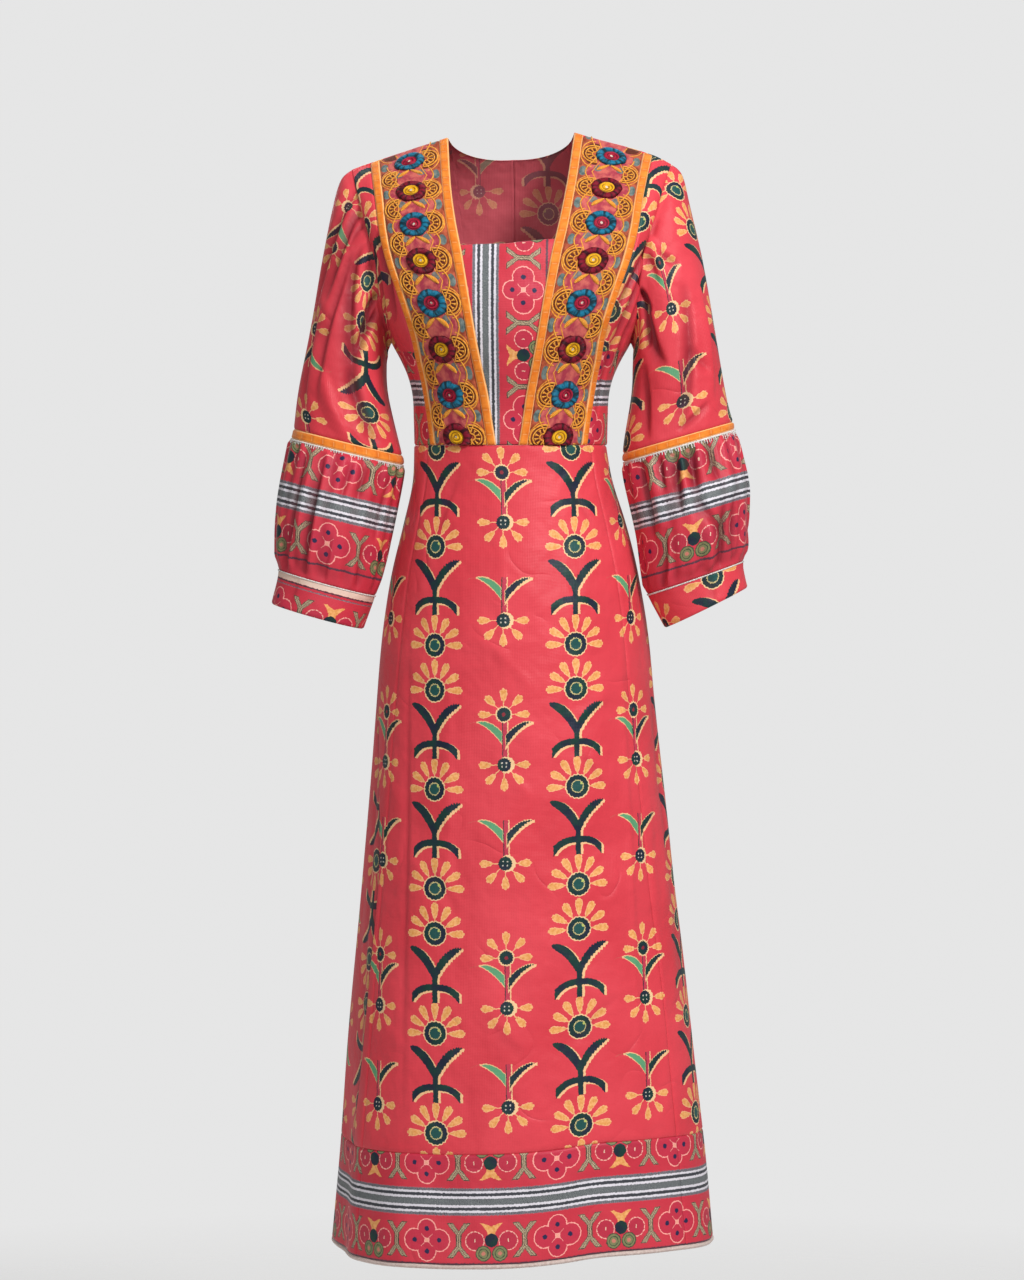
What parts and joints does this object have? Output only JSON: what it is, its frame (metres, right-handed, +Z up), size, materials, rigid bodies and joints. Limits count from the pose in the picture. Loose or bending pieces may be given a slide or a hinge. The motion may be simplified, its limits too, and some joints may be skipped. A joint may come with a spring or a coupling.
{
  "type": "midi dress",
  "caption": "Coral printed midi dress, worn shape: square V neck between embroidered bands, gathered three-quarter sleeves, A-line skirt with border.",
  "frame": {"origin": "midway between the shoulders, level with the neck ends of the shoulder seams, where the wearer's shoulders hold the dress", "axes": "+Z up along the dress, -Y towards its front, +X to the viewer's right of its front, so the wearer's left"},
  "size_m": [0.5503, 0.3888, 1.2839],
  "materials": {
    "printed_cotton_satin": "satin",
    "embroidered_net": "matte",
    "orange_ribbon": "matte",
    "cream_binding": "matte"
  },
  "bodies": {
    "root": {"bodice_back_left": "printed_cotton_satin", "bodice_back_right": "printed_cotton_satin", "cuff_left": "printed_cotton_satin", "cuff_right": "printed_cotton_satin", "embroidered_band_left": "embroidered_net", "embroidered_band_right": "embroidered_net", "hem_binding": "cream_binding", "hem_border_back": "printed_cotton_satin", "hem_border_front": "printed_cotton_satin", "hem_border_left": "printed_cotton_satin", "hem_border_right": "printed_cotton_satin", "inset_panel": "printed_cotton_satin", "neck_trim_left": "orange_ribbon", "neck_trim_right": "orange_ribbon", "outer_trim_left": "orange_ribbon", "outer_trim_right": "orange_ribbon", "side_front_left": "printed_cotton_satin", "side_front_right": "printed_cotton_satin", "skirt_back": "printed_cotton_satin", "skirt_front": "printed_cotton_satin", "skirt_left": "printed_cotton_satin", "skirt_right": "printed_cotton_satin", "sleeve_left": "printed_cotton_satin", "sleeve_lower_left": "printed_cotton_satin", "sleeve_lower_right": "printed_cotton_satin", "sleeve_right": "printed_cotton_satin", "sleeve_trim_left": "orange_ribbon", "sleeve_trim_right": "orange_ribbon"}
  },
  "joints": []
}
